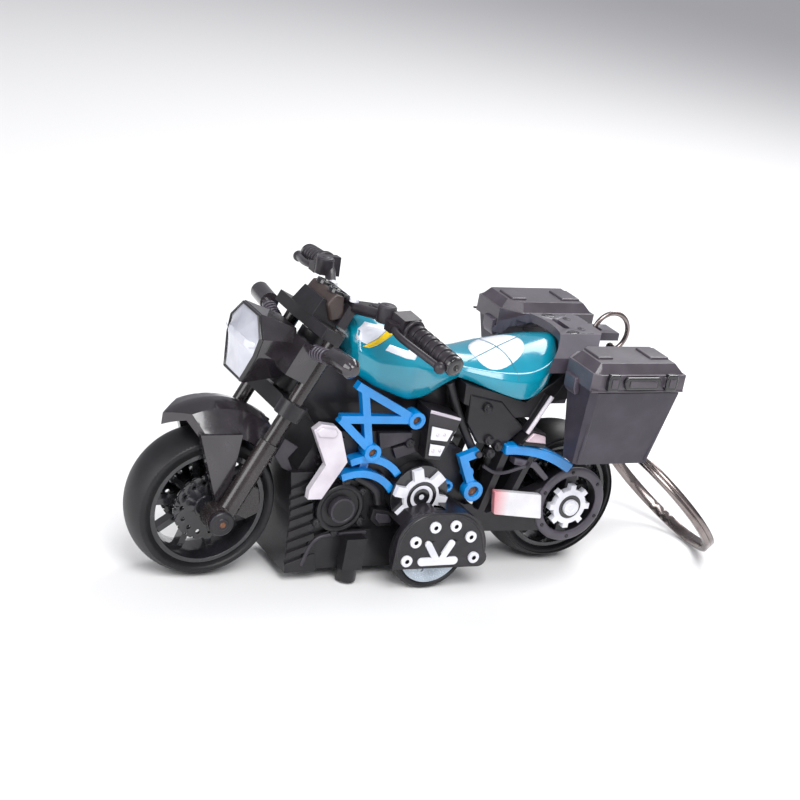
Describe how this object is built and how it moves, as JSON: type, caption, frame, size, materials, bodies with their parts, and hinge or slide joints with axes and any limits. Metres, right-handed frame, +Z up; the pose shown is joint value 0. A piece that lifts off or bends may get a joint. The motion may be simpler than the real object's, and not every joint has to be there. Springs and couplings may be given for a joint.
{
  "type": "toy motorcycle",
  "caption": "Small push-along toy motorcycle with a friction motor between two low drive wheels, turning fork, hard side cases and a key chain on its tail.",
  "frame": {"origin": "on the floor, midway between the front of the front tyre and the back of the split ring, in the middle plane", "axes": "+X the way it rolls forward, +Y to its left side, +Z up"},
  "size_m": [0.1208, 0.0578, 0.0527],
  "materials": {
    "black": "satin moulded black",
    "tyre": "smooth soft black",
    "turquoise": "gloss lacquer",
    "blue": "gloss lacquer",
    "silver": "silver lacquer",
    "lens": "silver-white gloss",
    "rim": "gloss black",
    "case": "satin",
    "lid": "satin",
    "steel": "drawn",
    "flywheel_steel": "turned",
    "gear": "moulded",
    "chain": "nickel plated wire"
  },
  "bodies": {
    "chassis": {"airbox_left": "black", "airbox_right": "black", "case_left": "case", "case_lid_left": "lid", "case_lid_right": "lid", "case_right": "case", "clutch_cover_left": "silver", "clutch_cover_right": "silver", "cooling_fins": "black", "engine_left": "black", "engine_right": "black", "fan_plate_left": "black", "fan_plate_right": "black", "footrest_bracket_left": "blue", "footrest_bracket_right": "blue", "fuel_tank": "turquoise", "main_frame": "black", "rear_axle": "steel", "seat_cowl": "turquoise", "seat_subframe": "black", "shroud_left": "silver", "shroud_right": "silver", "side_box_left": "silver", "side_box_right": "silver", "silencer": "silver", "sprocket_left": "silver", "sprocket_right": "silver", "swingarm": "blue", "tail_rack": "black", "tank_strip": "black", "trellis_left": "blue", "trellis_right": "blue"},
    "fork": {"fork_leg_left": "black", "fork_leg_right": "black", "front_axle": "steel", "lower_clamp": "black", "top_clamp": "black", "handlebar": "black", "headlight_housing": "black", "headlight_lens": "lens", "front_mudguard": "black"},
    "front_wheel": {"front_tyre": "tyre", "front_rim": "rim"},
    "rear_wheel": {"rear_tyre": "tyre", "rear_rim": "rim"},
    "drive": {"drive_axle": "steel", "wheel_gear": "gear", "drive_hub_left": "silver", "drive_hub_right": "silver", "drive_tyre_left": "tyre", "drive_tyre_right": "tyre"},
    "idler": {"idler_gear": "gear"},
    "flywheel_shaft": {"flywheel_pinion": "gear", "flywheel": "flywheel_steel"},
    "jump": {"jump_ring": "chain"},
    "link_1": {"chain_link_1": "chain"},
    "link_2": {"chain_link_2": "chain"},
    "link_3": {"chain_link_3": "chain"},
    "link_4": {"chain_link_4": "chain"},
    "ring": {"split_ring": "chain"}
  },
  "joints": [
    {"name": "steering", "type": "hinge", "parent": "chassis", "child": "fork", "pos_m": [0.04489, 0, 0.0132], "axis": [-0.4289, 0, 0.9033], "range_deg": [-10, 10]},
    {"name": "front_wheel_spin", "type": "hinge", "parent": "fork", "child": "front_wheel", "pos_m": [0.0472, 0, 0.0132], "axis": [0, 1, 0], "continuous": true},
    {"name": "rear_wheel_spin", "type": "hinge", "parent": "chassis", "child": "rear_wheel", "pos_m": [-0.0228, 0, 0.0132], "axis": [0, 1, 0], "continuous": true},
    {"name": "drive_spin", "type": "hinge", "parent": "chassis", "child": "drive", "pos_m": [0.0072, 0, 0.0076], "axis": [0, 1, 0], "continuous": true},
    {"name": "idler_spin", "type": "hinge", "parent": "chassis", "child": "idler", "pos_m": [0.01, 0, 0.01245], "axis": [0, 1, 0], "continuous": true},
    {"name": "flywheel_spin", "type": "hinge", "parent": "chassis", "child": "flywheel_shaft", "pos_m": [0.01526, 0, 0.01436], "axis": [0, 1, 0], "continuous": true},
    {"name": "jump_ring_swing", "type": "hinge", "parent": "chassis", "child": "jump", "pos_m": [-0.027, 0, 0.0441], "axis": [0, 1, 0], "range_deg": [0, 20]},
    {"name": "link_1_swing", "type": "hinge", "parent": "jump", "child": "link_1", "pos_m": [-0.03086, 0, 0.04144], "axis": [0, 1, 0], "range_deg": [-2, 60]},
    {"name": "link_2_swing", "type": "hinge", "parent": "link_1", "child": "link_2", "pos_m": [-0.03326, 0, 0.03536], "axis": [0, 1, 0], "range_deg": [-2, 60]},
    {"name": "link_3_swing", "type": "hinge", "parent": "link_2", "child": "link_3", "pos_m": [-0.03492, 0, 0.03114], "axis": [0, 1, 0], "range_deg": [-3, 60]},
    {"name": "link_4_swing", "type": "hinge", "parent": "link_3", "child": "link_4", "pos_m": [-0.03732, 0, 0.02507], "axis": [0, 1, 0], "range_deg": [-5, 60]},
    {"name": "ring_swing", "type": "hinge", "parent": "link_4", "child": "ring", "pos_m": [-0.03873, 0, 0.02149], "axis": [0, 1, 0], "range_deg": [-15, 100]}
  ],
  "couplings": [
    {"joint": "idler_spin", "follows": "drive_spin", "ratio": -2.5},
    {"joint": "flywheel_spin", "follows": "drive_spin", "ratio": 6.25}
  ]
}
